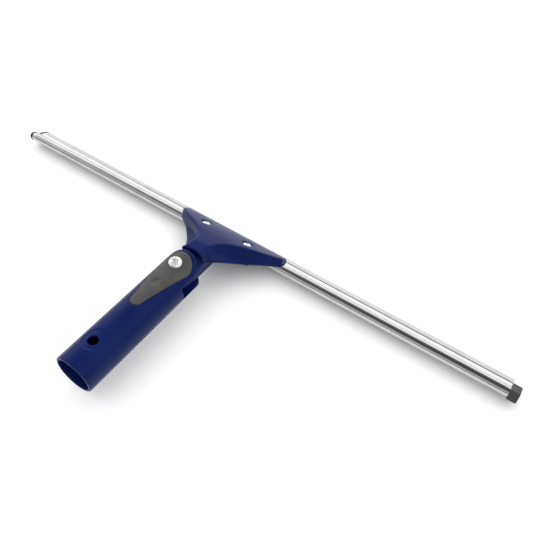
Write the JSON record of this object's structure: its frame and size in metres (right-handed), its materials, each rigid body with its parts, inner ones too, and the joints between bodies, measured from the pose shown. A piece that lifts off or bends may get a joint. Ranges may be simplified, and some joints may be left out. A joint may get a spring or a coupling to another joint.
{
  "type": "swivel window squeegee",
  "caption": "Hand squeegee: a hollow handle for a pole, a swivelling winged clamp head, and a long folded metal channel that holds a rubber blade.",
  "frame": {"origin": "centre of the pole socket's mouth", "axes": "+Y up the socket towards the head, +X along the blade towards the block-shaped end clip, +Z along the swivel axis, out of the handle's front face"},
  "size_m": [0.4601, 0.1744, 0.0435],
  "materials": {
    "blue_plastic": "satin moulded, deep navy blue",
    "grey_grip": "soft touch, dark warm grey",
    "bright_screw": "bright plated",
    "zinc_steel": "zinc plated",
    "friction_washer": "fibre",
    "bush_plastic": "natural white",
    "polished_channel": "polished stainless sheet",
    "blade_rubber": "smooth black",
    "navy_plastic": "moulded, dark navy",
    "charcoal_plastic": "moulded, charcoal grey"
  },
  "bodies": {
    "handle": {"handle_body": "blue_plastic", "front_grip_inlay": "grey_grip", "rear_grip_inlay": "grey_grip", "pivot_screw": "bright_screw", "pivot_nut": "zinc_steel", "spring_washer": "zinc_steel", "front_friction_washer": "friction_washer", "rear_friction_washer": "friction_washer"},
    "head": {"head_body": "blue_plastic", "pivot_bush": "bush_plastic", "clamp_jaw": "blue_plastic", "clamp_screw_left": "bright_screw", "clamp_screw_right": "bright_screw", "clamp_nut_left": "zinc_steel", "clamp_nut_right": "zinc_steel"},
    "channel_bar": {"channel": "polished_channel", "rubber_blade": "blade_rubber", "end_clip_left": "navy_plastic", "end_clip_right": "charcoal_plastic"}
  },
  "joints": [
    {"name": "head_swivel", "type": "hinge", "parent": "handle", "child": "head", "pos_m": [0, 0.098, 0], "axis": [0, 0, 1], "range_deg": [-90, 90]},
    {"name": "channel_slide", "type": "slide", "parent": "head", "child": "channel_bar", "axis": [1, 0, 0], "range_m": [-0.17, 0.17]}
  ]
}
